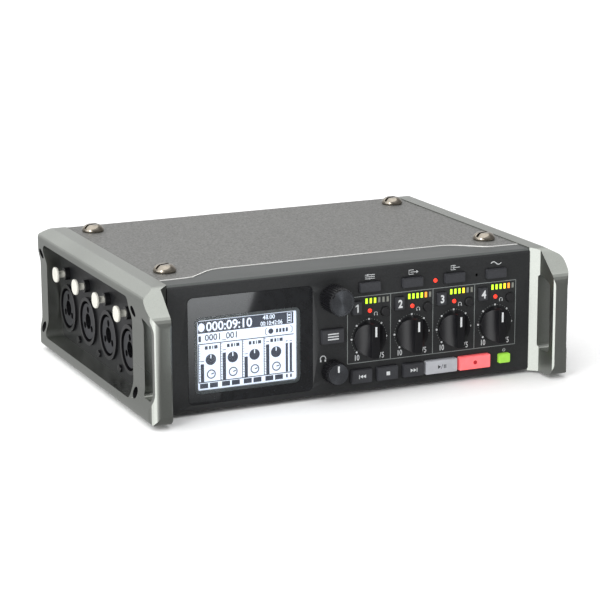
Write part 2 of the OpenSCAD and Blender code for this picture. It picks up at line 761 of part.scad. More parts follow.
color(dark) button(55.95, chan_z, 3.9, 5.1, 1.3);  // track_button_4
pfl_button(0);  // pfl_button_1
pfl_button(1);  // pfl_button_2
pfl_button(2);  // pfl_button_3
pfl_button(3);  // pfl_button_4
color(dark) button(2.4, keys_z, 8.9, 5.4, 1.8);  // rewind_button
color(dark) button(13.65, keys_z, 8.9, 5.4, 1.8);  // stop_button
color(dark) button(25, keys_z, 8.9, 5.4, 1.8);  // forward_button
color([0.6, 0.6, 0.6]) button(37.3, keys_z, 13.9, 5.4, 1.8);  // play_button
color([0.9, 0.3, 0.35]) button(52.2, keys_z, 13.9, 5.4, 1.8);  // record_button
color([0.5, 0.8, 0.2]) button(65.9, keys_z, 5, 3.7, 1.4);  // power_button
latch_tab(0);  // latch_tab_1
latch_tab(1);  // latch_tab_2
latch_tab(2);  // latch_tab_3
latch_tab(3);  // latch_tab_4
battery_cover();
battery_sled();
battery_cells();
card_door();
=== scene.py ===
"""Looks of a portable field recorder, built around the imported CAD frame.

Metres, in the CAD's own frame: +X right, +Y back, +Z up. The small helpers take
millimetres, because every print, icon and lamp on the recorder is a few millimetres wide.
"""

import json
import math

import bmesh
import bpy
from mathutils import Matrix, Vector


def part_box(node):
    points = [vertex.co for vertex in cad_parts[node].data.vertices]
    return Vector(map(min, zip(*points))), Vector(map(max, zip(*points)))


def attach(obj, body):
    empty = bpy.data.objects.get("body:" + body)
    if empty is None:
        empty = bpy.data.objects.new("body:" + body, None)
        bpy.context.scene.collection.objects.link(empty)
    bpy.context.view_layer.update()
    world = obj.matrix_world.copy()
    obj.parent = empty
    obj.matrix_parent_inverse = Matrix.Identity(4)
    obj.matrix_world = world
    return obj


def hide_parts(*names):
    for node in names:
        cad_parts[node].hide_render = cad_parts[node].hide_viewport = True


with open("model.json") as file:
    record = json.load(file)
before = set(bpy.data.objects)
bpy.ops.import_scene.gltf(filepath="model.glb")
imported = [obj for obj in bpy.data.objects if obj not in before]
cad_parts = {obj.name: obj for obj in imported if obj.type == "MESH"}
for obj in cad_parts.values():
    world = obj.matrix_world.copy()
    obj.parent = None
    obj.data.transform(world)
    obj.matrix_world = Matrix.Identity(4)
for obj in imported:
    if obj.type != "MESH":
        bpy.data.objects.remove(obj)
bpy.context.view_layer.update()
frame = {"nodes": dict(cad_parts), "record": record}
NODES = frame["nodes"]
BODY_OF = {node: body for body, nodes in frame["record"]["behaviour"]["bodies"].items() for node in nodes}
MM = 0.001
INK = 0.03          # thickness of printed ink, mm


def span(node):
    """Lowest and highest corner of a CAD node, in millimetres."""
    lo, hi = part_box(node)
    return lo / MM, hi / MM


def middle(node):
    lo, hi = span(node)
    return (lo + hi) / 2


FACE_Y = span("front_panel")[0].y                     # front of the control panel
CASE_HW = span("front_panel")[1].x                    # half width of the panel
COVER_Z = span("top_cover")[1].z                      # top of the cover
KNOBS = [middle(f"trim_knob_{i}") for i in (1, 2, 3, 4)]
CHANNEL = KNOBS[1].x - KNOBS[0].x                     # channel pitch
TRIM_R = (span("trim_knob_1")[1].x - span("trim_knob_1")[0].x) / 2
LCD = dict(x=-44.87, z=23.0, w=41.0, h=27.35)         # lit area of the display, mm


# ---------------------------------------------------------------- materials

def linear(srgb):
    """Linear colour of an 8-bit display colour."""
    out = []
    for c in srgb:
        c /= 255
        out.append(c / 12.92 if c <= 0.04045 else ((c + 0.055) / 1.055) ** 2.4)
    return tuple(out) + (1.0,)


class Nodes:
    """A short way to build a node material around one Principled shader."""

    def __init__(self, name):
        self.mat = bpy.data.materials.new(name)
        self.mat.use_nodes = True
        self.tree = self.mat.node_tree
        self.bsdf = self.tree.nodes["Principled BSDF"]
        self.coords = self.add("ShaderNodeTexCoord").outputs["Object"]

    def add(self, kind, **props):
        node = self.tree.nodes.new(kind)
        for key, value in props.items():
            setattr(node, key, value)
        return node

    def link(self, a, b):
        self.tree.links.new(a, b)

    def set(self, **values):
        for key, value in values.items():
            self.bsdf.inputs[key.replace("_", " ")].default_value = value
        return self

    def noise(self, scale, detail=3.0, stretch=(1, 1, 1)):
        mapping = self.add("ShaderNodeMapping")
        mapping.inputs["Scale"].default_value = stretch
        self.link(self.coords, mapping.inputs["Vector"])
        noise = self.add("ShaderNodeTexNoise")
        noise.inputs["Scale"].default_value = scale
        noise.inputs["Detail"].default_value = detail
        self.link(mapping.outputs["Vector"], noise.inputs["Vector"])
        return noise.outputs["Fac"]

    def ramp(self, fac, low, high, lo_pos=0.3, hi_pos=0.7):
        ramp = self.add("ShaderNodeValToRGB")
        ramp.color_ramp.elements[0].position = lo_pos
        ramp.color_ramp.elements[1].position = hi_pos
        ramp.color_ramp.elements[0].color = low
        ramp.color_ramp.elements[1].color = high
        self.link(fac, ramp.inputs["Fac"])
        return ramp.outputs["Color"]

    def remap(self, fac, low, high):
        m = self.add("ShaderNodeMapRange")
        m.inputs["From Min"].default_value = 0.3
        m.inputs["From Max"].default_value = 0.7
        m.inputs["To Min"].default_value = low
        m.inputs["To Max"].default_value = high
        self.link(fac, m.inputs["Value"])
        return m.outputs["Result"]

    def bump(self, fac, height_mm, strength=1.0):
        b = self.add("ShaderNodeBump")
        b.inputs["Distance"].default_value = height_mm * MM
        b.inputs["Strength"].default_value = strength
        self.link(fac, b.inputs["Height"])
        self.link(b.outputs["Normal"], self.bsdf.inputs["Normal"])


def shade(color, k):
    return tuple(min(1.0, c * k) for c in color[:3]) + (1.0,)


def surface(name, srgb, rough, metallic=0.0, vary=0.12, grain=1500, grain_mm=0.01, rough_vary=0.06,
            cloud=30, **sockets):
    """Painted, moulded or plated surface: slow colour drift, fine grain and uneven gloss."""
    n = Nodes(name)
    base = linear(srgb)
    fine = n.noise(grain, 2.0)
    slow = n.noise(cloud, 4.0)
    tint = n.ramp(fine, shade(base, 1 - vary), shade(base, 1 + vary))
    drift = n.ramp(slow, (0.93, 0.93, 0.93, 1), (1.05, 1.05, 1.05, 1))
    mix = n.add("ShaderNodeMix", data_type="RGBA", blend_type="MULTIPLY")
    mix.inputs["Factor"].default_value = 1.0
    n.link(tint, mix.inputs["A"])
    n.link(drift, mix.inputs["B"])
    n.link(mix.outputs["Result"], n.bsdf.inputs["Base Color"])
    n.link(n.remap(slow, rough - rough_vary, rough + rough_vary), n.bsdf.inputs["Roughness"])
    n.bump(fine, grain_mm)
    n.set(Metallic=metallic)
    return n.set(**sockets).mat


def glow(name, srgb, strength, rough=0.3, vary=0.06, body_srgb=None):
    """Lit lens or key: coloured plastic that shines from inside, a little unevenly; on the grey play key the
    faint glow is painted light.
    """
    n = Nodes(name)
    base = linear(srgb)
    fac = n.noise(420, 2.0)
    color = n.ramp(fac, shade(base, 1 - vary), shade(base, 1 + vary))
    skin = linear(body_srgb) if body_srgb else base
    n.link(n.ramp(fac, shade(skin, 1 - vary), shade(skin, 1 + vary)), n.bsdf.inputs["Base Color"])
    n.link(color, n.bsdf.inputs["Emission Color"])
    n.set(Emission_Strength=strength, Roughness=rough)
    return n.mat


def brushed(name, srgb, rough, stretch, scale=900):
    """Machined or plated metal with fine lines along one axis."""
    n = Nodes(name)
    base = linear(srgb)
    lines = n.noise(scale, 4.0, stretch)
    n.link(n.ramp(lines, shade(base, 0.82), shade(base, 1.12)), n.bsdf.inputs["Base Color"])
    n.link(n.remap(lines, rough * 0.8, rough * 1.3), n.bsdf.inputs["Roughness"])
    n.bump(lines, 0.006)
    return n.set(Metallic=1.0).mat


M = {
    "cover": surface("cover_paint", (108, 108, 106), 0.5, 0.45, vary=0.42, grain=1300, grain_mm=0.01,
                     cloud=12),
    "silver": surface("frame_paint", (152, 155, 150), 0.32, 1.0, vary=0.06, grain=2600, grain_mm=0.012,
                      cloud=16),
    "panel": surface("panel_paint", (41, 42, 43), 0.5, 0.0, vary=0.14, grain=2000, grain_mm=0.012,
                     Specular_IOR_Level=0.35),
    # lighter grey for the panel's upward ledge: painted light from above on the dark panel paint
    "shelf": surface("panel_top_painted_light", (76, 79, 78), 0.42, 0.5, vary=0.06, grain=2600, grain_mm=0.006),
    # white strip along the cover seam: a painted highlight
    "edge": surface("seam_painted_highlight", (236, 236, 233), 0.4, 0.15, vary=0.05),
    "chassis": surface("chassis_paint", (34, 34, 36), 0.42, 0.1, vary=0.14, grain=2200, grain_mm=0.012),
    # jack panels: their own black, darkened further as painted shade inside the frame openings
    "recess": surface("jack_panel_black_and_shade", (20, 21, 23), 0.4, vary=0.14, grain=2200, grain_mm=0.008,
                      Specular_IOR_Level=0.3),
    "socket": surface("socket_shell", (17, 17, 19), 0.3, vary=0.2, grain=1400, grain_mm=0.008,
                      Specular_IOR_Level=0.4),
    "socket_face": surface("socket_face", (31, 32, 36), 0.45, vary=0.1, grain=1600, grain_mm=0.012),
    "socket_rim": surface("socket_rim", (62, 63, 66), 0.32, vary=0.1),
    "moulded": surface("moulded_black", (30, 30, 32), 0.55, vary=0.18, grain=1900, grain_mm=0.02),
    "knob": surface("knob_plastic", (17, 17, 20), 0.34, vary=0.15, grain=1700, grain_mm=0.006,
                    Specular_IOR_Level=0.35),
    "key": surface("key_rubber", (54, 55, 59), 0.5, vary=0.1, grain=1500, grain_mm=0.012),
    "tab": surface("tab_plastic", (204, 203, 194), 0.42, vary=0.04, grain=900, grain_mm=0.01),
    "rubber": surface("foot_rubber", (26, 26, 26), 0.8, vary=0.2, grain=1200, grain_mm=0.03),
    # black steel of screws and sockets; also painted shade in the side frames' screw recesses
    "black_steel_and_recess_shade": surface("black_steel_and_recess_shade", (22, 22, 24), 0.35, 0.2, vary=0.2),
    "nickel": brushed("polished_nickel", (152, 145, 134), 0.15, (1, 1, 1), 500),
    "plated": brushed("plated_steel", (170, 168, 163), 0.3, (1, 6, 1)),
    "gold": brushed("gold_contact", (205, 170, 96), 0.25, (1, 6, 1)),
    "board": surface("solder_mask", (24, 78, 46), 0.3, vary=0.3, grain=600, grain_mm=0.02),
    "cell": surface("cell_jacket", (160, 110, 46), 0.35, 0.3, vary=0.15, grain=300),
    "ink": surface("white_ink", (206, 209, 210), 0.55, vary=0.05, grain=1800),
    "dark_ink": surface("dark_ink", (40, 42, 46), 0.5, vary=0.1),
    "red_ink": surface("red_ink", (196, 22, 34), 0.5, vary=0.1),
    "grey_ink": surface("grey_ink", (128, 133, 132), 0.55, vary=0.08, grain=1800),
    "lens_black": surface("lens_black", (27, 28, 30), 0.05, vary=0.2, grain=300, grain_mm=0.0,
                          rough_vary=0.01, Specular_IOR_Level=0.4),
    "lens_rim": surface("lens_rim", (84, 90, 92), 0.3, vary=0.06, grain=900),
    "led_off": surface("led_unlit", (128, 130, 122), 0.3, vary=0.08),
    "led_green": glow("led_green", (190, 255, 40), 1.05),
    "led_yellow": glow("led_yellow", (255, 214, 40), 1.4),
    "led_orange": glow("led_orange", (255, 140, 40), 1.4),
    "led_red": glow("led_red", (255, 58, 40), 1.0),
    # the grey play key is no lamp: its faint glow is painted light that lifts its tone
    "grey_key_painted_glow": glow("play_key", (170, 172, 178), 0.12, body_srgb=(168, 170, 175)),
    "key_red": glow("record_key", (255, 88, 96), 0.3, body_srgb=(255, 122, 124)),
    "key_green": glow("power_key", (158, 216, 74), 0.42, body_srgb=(140, 192, 66)),
}


def lcd_material():
    """Backlit panel: bluish white with a faint pixel grid and a slow, faint unevenness."""
    n = Nodes("lcd_backlight")
    wave = n.add("ShaderNodeTexChecker")
    wave.inputs["Scale"].default_value = 3000
    wave.inputs["Color1"].default_value = linear((226, 236, 248))
    wave.inputs["Color2"].default_value = linear((212, 224, 240))
    n.link(n.coords, wave.inputs["Vector"])
    cloud = n.ramp(n.noise(40), (0.94, 0.95, 0.97, 1), (1, 1, 1, 1))
    mix = n.add("ShaderNodeMix", data_type="RGBA", blend_type="MULTIPLY")
    mix.inputs["Factor"].default_value = 1.0
    n.link(wave.outputs["Color"], mix.inputs["A"])
    n.link(cloud, mix.inputs["B"])
    n.link(mix.outputs["Result"], n.bsdf.inputs["Emission Color"])
    n.link(mix.outputs["Result"], n.bsdf.inputs["Base Color"])
    return n.set(Emission_Strength=0.95, Roughness=0.4).mat


def glass_material():
    """Clear cover over the display: faintly smoked, glossy, with a trace of unevenness."""
    n = Nodes("lens_clear")
    n.link(n.ramp(n.noise(60), linear((18, 20, 24)), linear((26, 28, 32))), n.bsdf.inputs["Base Color"])
    return n.set(Roughness=0.04, Alpha=0.1, IOR=1.49).mat


def spun(name, srgb, rough):
    """Turned face of a knob: fine rings that stretch the highlight out from the middle."""
    n = Nodes(name)
    base = linear(srgb)
    fac = n.noise(2600, 2.0)
    n.link(n.ramp(fac, shade(base, 0.85), shade(base, 1.15)), n.bsdf.inputs["Base Color"])
    tangent = n.add("ShaderNodeTangent", direction_type="RADIAL", axis="Y")
    n.link(tangent.outputs["Tangent"], n.bsdf.inputs["Tangent"])
    n.bump(fac, 0.004)
    return n.set(Metallic=0.9, Roughness=rough, Anisotropic=0.85).mat


M["knob_face"] = spun("knob_turned_face", (92, 94, 98), 0.32)
M["lcd"] = lcd_material()
M["lcd_dark"] = glow("lcd_segments", (66, 72, 84), 0.55, rough=0.4)
M["glass"] = glass_material()


# ---------------------------------------------------------------- meshes

def finish_mesh(name, mesh, body, *materials):
    """Makes a piece of a mesh, with its materials, riding on a CAD body."""
    obj = bpy.data.objects.new(name, mesh)
    bpy.context.scene.collection.objects.link(obj)
    mesh.materials.clear()
    for m in materials:
        mesh.materials.append(M[m])
    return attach(obj, body)


def soften(node, width, *materials, pick=None, segments=3, sharp=36, name=None):
    """A copy of a CAD node with rounded edges, shown in its place.

    pick(centre_mm, normal) gives the material number of a face."""
    bm = bmesh.new()
    bm.from_mesh(NODES[node].data)
    bmesh.ops.remove_doubles(bm, verts=bm.verts, dist=1e-6)
    if width:
        bmesh.ops.dissolve_limit(bm, angle_limit=math.radians(0.6), verts=bm.verts, edges=bm.edges)
    mesh = bpy.data.meshes.new(name or f"{node}_skin")
    bm.to_mesh(mesh)
    bm.free()
    obj = finish_mesh(name or f"{node}_skin", mesh, BODY_OF[node], *materials)
    if width:
        bevel = obj.modifiers.new("edges", "BEVEL")
        bevel.width = width * MM
        bevel.segments = segments
        bevel.limit_method = "ANGLE"
        bevel.angle_limit = math.radians(sharp)
        bevel.use_clamp_overlap = True
        bevel.miter_outer = "MITER_ARC"
        settle(obj)
    mesh = obj.data
    mesh.polygons.foreach_set("use_smooth", [True] * len(mesh.polygons))
    mesh.set_sharp_from_angle(angle=math.radians(min(sharp, 28) if not width else sharp))
    even = obj.modifiers.new("even_normals", "WEIGHTED_NORMAL")
    even.keep_sharp = True
    even.weight = 80
    settle(obj)
    mesh = obj.data
    if pick:
        for p in mesh.polygons:
            p.material_index = pick(p.center / MM, p.normal)
    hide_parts(node)
    return obj


def settle(obj):
    """Applies an object's modifiers to its mesh."""
    bpy.context.view_layer.update()
    deps = bpy.context.evaluated_depsgraph_get()
    mesh = bpy.data.meshes.new_from_object(obj.evaluated_get(deps))
    materials = list(obj.data.materials)
    obj.modifiers.clear()
    obj.data = mesh
    mesh.materials.clear()
    for m in materials:
        mesh.materials.append(m)


class Sheet:
    """Thin flat shapes on one plane, gathered into one mesh.

    Shapes are drawn in millimetres with a to the right and b up, as seen from in front of the plane."""

    def __init__(self, origin, right=(1, 0, 0), up=(0, 0, 1), thick=INK):
        self.o, self.r, self.u = Vector(origin), Vector(right), Vector(up)
        self.n = self.r.cross(self.u)
        self.thick = thick
        self.bm = bmesh.new()

    def at(self, a, b, h=0.0):
        return (self.o + self.r * a + self.u * b + self.n * h) * MM

    def poly(self, points, thick=None):
        """A closed outline, counter-clockwise, given a small height."""
        t = self.thick if thick is None else thick
        low = [self.bm.verts.new(self.at(a, b)) for a, b in points]
        high = [self.bm.verts.new(self.at(a, b, t)) for a, b in points]
        count = len(points)
        self.bm.faces.new(high)
        self.bm.faces.new(low[::-1])
        for i in range(count):
            j = (i + 1) % count
            self.bm.faces.new((low[i], low[j], high[j], high[i]))

    def rect(self, a, b, w, h, turn=0.0):
        c, s = math.cos(math.radians(turn)), math.sin(math.radians(turn))
        self.poly([(a + c * x - s * y, b + s * x + c * y)
                   for x, y in ((-w / 2, -h / 2), (w / 2, -h / 2), (w / 2, h / 2), (-w / 2, h / 2))])

    def disc(self, a, b, r, n=20, squash=1.0):
        self.poly([(a + r * math.cos(2 * math.pi * i / n), b + squash * r * math.sin(2 * math.pi * i / n))
                   for i in range(n)])

    def line(self, p, q, w):
        (x0, y0), (x1, y1) = p, q
        self.rect((x0 + x1) / 2, (y0 + y1) / 2, math.hypot(x1 - x0, y1 - y0), w,
                  math.degrees(math.atan2(y1 - y0, x1 - x0)))

    def band(self, points, w, closed=False):
        """A stroke of even width through points, as one strip."""
        pts = [Vector(p) for p in points]
        count = len(pts)
        left, right = [], []
        for i, p in enumerate(pts):
            before = pts[i - 1] if (i or closed) else p
            after = pts[(i + 1) % count] if (i < count - 1 or closed) else p
            d = (after - before).normalized()
            side = Vector((-d.y, d.x)) * w / 2
            left.append(p + side)
            right.append(p - side)
        low_l = [self.bm.verts.new(self.at(*p)) for p in left]
        low_r = [self.bm.verts.new(self.at(*p)) for p in right]
        top_l = [self.bm.verts.new(self.at(p.x, p.y, self.thick)) for p in left]
        top_r = [self.bm.verts.new(self.at(p.x, p.y, self.thick)) for p in right]
        for i in range(count if closed else count - 1):
            j = (i + 1) % count
            self.bm.faces.new((top_l[i], top_r[i], top_r[j], top_l[j]))
            self.bm.faces.new((low_r[i], low_l[i], low_l[j], low_r[j]))
            self.bm.faces.new((top_r[i], low_r[i], low_r[j], top_r[j]))
            self.bm.faces.new((low_l[i], top_l[i], top_l[j], low_l[j]))
        if not closed:
            self.bm.faces.new((top_l[0], low_l[0], low_r[0], top_r[0]))
            self.bm.faces.new((top_r[-1], low_r[-1], low_l[-1], top_l[-1]))

    def arc(self, a, b, r, w, start=0, end=360, n=24):
        full = abs(end - start) >= 360
        steps = n if full else n + 1
        self.band([(a + r * math.cos(math.radians(start + (end - start) * i / n)),
                    b + r * math.sin(math.radians(start + (end - start) * i / n))) for i in range(steps)],
                  w, closed=full)

    def text(self, body, a, b, height, narrow=0.8, weight=0.012):
        """Numerals in Blender's own font, centred at (a, b) and height tall."""
        curve = bpy.data.curves.new("numeral", "FONT")
        curve.body = body
        curve.align_x, curve.align_y = "CENTER", "CENTER"
        curve.size = 1.0
        curve.offset = weight
        curve.extrude = 0.5
        curve.resolution_u = 3
        obj = bpy.data.objects.new("numeral", curve)
        bpy.context.scene.collection.objects.link(obj)
        bpy.context.view_layer.update()
        mesh = bpy.data.meshes.new_from_object(obj.evaluated_get(bpy.context.evaluated_depsgraph_get()))
        top = max(v.co.y for v in mesh.vertices)
        low = min(v.co.y for v in mesh.vertices)
        left = min(v.co.x for v in mesh.vertices)
        right = max(v.co.x for v in mesh.vertices)
        k = height / (top - low)
        for v in mesh.vertices:
            x = (v.co.x - (left + right) / 2) * k * narrow
            y = (v.co.y - (top + low) / 2) * k
            v.co = self.at(a + x, b + y, self.thick * (v.co.z + 0.5))
        self.bm.from_mesh(mesh)
        bpy.data.objects.remove(obj)
        bpy.data.curves.remove(curve)
        bpy.data.meshes.remove(mesh)

    def done(self, name, body, material):
        bmesh.ops.recalc_face_normals(self.bm, faces=self.bm.faces)
        mesh = bpy.data.meshes.new(name)
        self.bm.to_mesh(mesh)
        self.bm.free()
        return finish_mesh(name, mesh, body, material)


def front(x=0.0, z=0.0, ahead=0.0, thick=INK):
    """A sheet on the control panel, facing the user; ahead is the distance in front of the panel."""
    return Sheet((x, FACE_Y - ahead, z), thick=thick)


def on_node(node, thick=INK):
    """A sheet on the front face of a key or knob, centred on it."""
    lo, hi = span(node)
    return Sheet(((lo.x + hi.x) / 2, lo.y, (lo.z + hi.z) / 2), thick=thick)


# ---------------------------------------------------------------- case

def case_parts():
    """Outer metalwork with rounded edges and painted or plated surfaces."""
    # upward faces of the panel's top ledge get the lighter grey, painted light falling from above
    def panel_pick(c, n):
        if c.z > COVER_Z - 1.6 and n.z > 0.5 and c.y > FACE_Y + 0.4:
            return 1
        return 0

    soften("front_panel", 0, "panel", "shelf", pick=panel_pick)
    soften("top_cover", 0, "cover")
    # walls and floors of the screw recesses in the silver frames take this black as painted shade
    def frame_pick(c, n):
        near = min(math.hypot(c.y - y, c.z - z) for y in (-50.2, 60.9) for z in (10.1, 41.5))
        return int(near < 2.4 and abs(n.x) < 0.5 or near < 1.6)

    for side in ("left", "right"):
        soften(f"{side}_side_frame", 0, "silver", "black_steel_and_recess_shade", pick=frame_pick, sharp=12)
    soften("bottom_chassis", 0, "chassis")
    # the jack panels' darker black is partly painted shade of the frame openings
    soften("left_jack_panel", 0, "recess")
    soften("right_jack_panel", 0, "recess")
    soften("rear_panel", 0, "chassis")
    soften("cover_screws", 0.04, "nickel", segments=2)
    soften("case_screws", 0, "black_steel_and_recess_shade")
    soften("rubber_feet", 0.2, "rubber", segments=2)
    soften("battery_cover", 0.3, "moulded", segments=2)
    soften("card_door", 0.2, "moulded", segments=2)
    soften("battery_sled", 0.2, "moulded", segments=2)
    for node, material in (("battery_box", "moulded"), ("battery_cells", "cell"), ("main_board", "board"),
                           ("control_board", "board"), ("potentiometers", "plated"), ("card_slots", "plated"),
                           ("encoder_shaft", "plated"), ("output_pins", "gold"), ("lcd_module", "moulded")):
        NODES[node].data.materials.clear()
        NODES[node].data.materials.append(M[material])


def cover_seam():
    """Painted highlight: a bright white strip on the cover where it meets the front panel."""
    half = [(48, -37.2), (51.5, -38), (54.5, -39.6), (60.5, -44.6), (63, -46.6), (65.5, -47.2),
            (CASE_HW - 0.6, -47.55)]
    points = [(-x, y) for x, y in half[::-1]] + half
    line = Sheet((0, 0, COVER_Z - 0.02), right=(1, 0, 0), up=(0, 1, 0), thick=0.26)
    line.band(points, 0.5)
    line.done("cover_seam_painted_highlight", "case", "edge")


# ---------------------------------------------------------------- sockets

def socket_parts():
    """Input sockets, release tabs, outputs and the small connectors."""
    axes = [middle(f"latch_tab_{i}").y for i in (1, 2, 3, 4)]
    socket_z = 20.5

    def input_pick(c, n):
        r = min(math.hypot(c.y - y, c.z - socket_z) for y in axes)
        if n.x < -0.9 and r < 7.35 and c.x > -82.2:
            return 1
        if c.x < -82 and 9.35 < r < 10:
            return 2
        return 0

    soften("input_jacks", 0.16, "socket", "socket_face", "socket_rim", pick=input_pick, segments=2)
    soften("output_jacks", 0.16, "socket", segments=2)
    soften("audio_jacks", 0.15, "socket", segments=2)
    soften("bnc_sockets", 0.15, "plated", segments=2)
    soften("dc_socket", 0.15, "black_steel_and_recess_shade", segments=2)
    soften("usb_port", 0.08, "plated", segments=2)
    for i in (1, 2, 3, 4):
        soften(f"latch_tab_{i}", 0.3, "tab", segments=3)


# ---------------------------------------------------------------- controls

def control_parts():
    """Knobs and keys with rounded edges."""
    for i in (1, 2, 3, 4):
        soften(f"trim_knob_{i}", 0.28, "knob")
        soften(f"track_button_{i}", 0.22, "key")
        soften(f"pfl_button_{i}", 0.25, "moulded")
    for name in ("encoder_knob", "headphone_knob"):
        hub, tip = middle(name), span(name)[0].y

        def turned_face(c, n, hub=hub, tip=tip):
            near_axis = math.hypot(c.x - hub.x, c.z - hub.z) < 4.4
            return int(n.y < -0.8 and c.y < tip + 1.2 and near_axis)

        soften(name, 0.14, "knob", "knob_face", segments=2, pick=turned_face)
    for name in ("menu", "option", "output", "input", "slate", "rewind", "stop", "forward"):
        soften(f"{name}_button", 0.25, "key")
    soften("play_button", 0.35, "grey_key_painted_glow")
    soften("record_button", 0.35, "key_red")
    soften("power_button", 0.3, "key_green")


def lamps():
    """Meter segments and status lamps, lit as in use."""
    lit = [["led_green"] * 3, ["led_green"] * 4 + ["led_orange"], ["led_green"] * 3 + ["led_yellow"],
           ["led_green"] * 3 + ["led_yellow", "led_orange"]]
    slots = ["led_off", "led_green", "led_yellow", "led_orange", "led_red"]
    first, pitch = 5.0, 1.82

    def pick(c, n):
        if c.z > 40 or c.z < 35:
            return slots.index("led_red")
        channel = min(3, max(0, int((c.x - first + 2) // 18.5)))
        k = round((c.x - first - channel * 18.5) / pitch)
        return slots.index(lit[channel][k]) if 0 <= k < len(lit[channel]) else 0

    soften("led_lenses", 0, *slots, pick=pick)


# ---------------------------------------------------------------- print

def headphones(s, a, b, k):
    """A headband over two ear cups."""
    s.arc(a, b, 1.0 * k, 0.26 * k, -20, 200, 16)
    for side in (-1, 1):
        s.rect(a + side * 0.85 * k, b - 0.62 * k, 0.5 * k, 0.8 * k)


def power_mark(s, a, b, k):
    """An open ring with a stroke through its gap."""
    s.arc(a, b, 0.9 * k, 0.24 * k, 125, 415, 16)
    s.rect(a, b + 0.75 * k, 0.24 * k, 1.0 * k)


def panel_print():
    """Channel boxes, scale dots, dial numbers and plain pictograms on the control panel."""
    grey = front()
    left, right = KNOBS[0].x - CHANNEL / 2, KNOBS[3].x + CHANNEL / 2
    low, high, w = 12.9, 39.25, 0.26
    grey.line((left, low), (right, low), w)
    grey.line((left, high), (right, high), w)
    for i in range(5):
        grey.line((left + i * CHANNEL, low), (left + i * CHANNEL, high), w)
    grey.done("channel_boxes", "case", "grey_ink")

    white = front()
    fine = front()
    ring = TRIM_R + 0.66
    for knob in KNOBS:
        for step in range(31):
            a = math.radians(225 - 9 * step)
            x, z = knob.x + ring * math.cos(a), knob.z + ring * math.sin(a)
            if step % 5 == 0:
                white.disc(x, z, 0.42, 14)
            else:
                fine.disc(x, z, 0.15, 8)
        white.text("10", knob.x - 5.1, knob.z - 7.5, 2.3, 0.74)
        white.text("75", knob.x + 5.45, knob.z - 7.55, 2.3, 0.72)
    fine.done("scale_dots_fine", "case", "grey_ink")

    headphones(white, -13.6, 16.2, 1.15)
    for i in range(4):
        headphones(white, 9.0 + i * 18.45, 31.9, 0.68)
    power_mark(white, 66.1, 10.9, 0.62)
    # sliders, arrow out, arrow in and a wave, each above its key
    for k, knob_x in enumerate((-0.9, 0.7, -0.2)):
        z = 47.55 - 0.75 * k
        white.line((6.4 - 2.1, z), (6.4 + 2.1, z), 0.2)
        white.disc(6.4 + knob_x, z, 0.34, 10)
    for x, way in ((24.9, 1), (43.4, -1)):
        white.band([(x + 0.4, 47.7), (x - 1.6, 47.7), (x - 1.6, 46.0), (x + 0.4, 46.0)], 0.22)
        white.line((x - 0.9, 46.85), (x + 2.2, 46.85), 0.22)
        tip = x + 2.5 if way > 0 else x - 1.1
        white.poly([(tip, 46.85), (tip - way * 0.9, 47.45), (tip - way * 0.9, 46.25)][::way])
    wave = [(61.9 - 2.3 + 4.6 * i / 16, 46.9 + 0.62 * math.sin(2 * math.pi * i / 16)) for i in range(17)]
    white.band(wave, 0.3)
    white.done("panel_marks", "case", "ink")


def key_print():
    """Numbers and transport symbols on the keys, and pointers on the knobs."""
    for i in (1, 2, 3, 4):
        s = on_node(f"track_button_{i}")
        s.o.z = middle(f"track_button_{i}").z
        if i == 1:
            s.poly([(-0.1, 1.6), (-0.95, 1.0), (-0.95, 0.5), (-0.2, 0.9),
                    (-0.2, -1.6), (0.4, -1.6), (0.4, 1.6)])
        else:
            s.text(str(i), 0, 0, 3.3, 0.85, 0.03)
        s.done(f"track_number_{i}", BODY_OF[f"track_button_{i}"], "ink")
        p = on_node(f"trim_knob_{i}")
        p.rect(0, 3.7, 0.8, 3.95)
        p.done(f"trim_pointer_{i}", BODY_OF[f"trim_knob_{i}"], "ink")
    s = on_node("headphone_knob")
    s.rect(0, 2.05, 0.75, 2.5)
    s.done("headphone_pointer", BODY_OF["headphone_knob"], "ink")

    s = on_node("menu_button")
    for k in (-1, 0, 1):
        s.rect(0, k * 1.05, 4.6, 0.46)
    s.done("menu_mark", BODY_OF["menu_button"], "ink")

    def arrow(s, a, way, h=1.5, w=1.25):
        s.poly([(a + way * w / 2, 0), (a - way * w / 2, h / 2), (a - way * w / 2, -h / 2)][::way])

    s = on_node("rewind_button")
    arrow(s, -0.35, -1)
    arrow(s, 0.95, -1)
    s.rect(-1.25, 0, 0.3, 1.6)
    s.done("rewind_mark", BODY_OF["rewind_button"], "ink")
    s = on_node("stop_button")
    s.rect(0, 0, 1.5, 1.5)
    s.done("stop_mark", BODY_OF["stop_button"], "ink")
    s = on_node("forward_button")
    arrow(s, -0.95, 1)
    arrow(s, 0.35, 1)
    s.rect(1.25, 0, 0.3, 1.6)
    s.done("forward_mark", BODY_OF["forward_button"], "ink")
    s = on_node("play_button")
    arrow(s, -1.1, 1, 1.5, 1.3)
    s.line((-0.3, -0.9), (0.35, 0.9), 0.2)
    for dx in (1.0, 1.7):
        s.rect(dx, 0, 0.36, 1.5)
    s.done("play_mark", BODY_OF["play_button"], "dark_ink")
    s = on_node("record_button")
    s.disc(0, 0, 0.85, 24)
    s.done("record_mark", BODY_OF["record_button"], "red_ink")


# ---------------------------------------------------------------- display

def rounded(w, h, r, n=5):
    """Outline of a rounded rectangle, counter-clockwise from its lower right corner."""
    out = []
    for sx, sz, start in ((1, -1, 270), (1, 1, 0), (-1, 1, 90), (-1, -1, 180)):
        for i in range(n + 1):
            a = math.radians(start + 90 * i / n)
            out.append((sx * (w / 2 - r) + r * math.cos(a), sz * (h / 2 - r) + r * math.sin(a)))
    return out


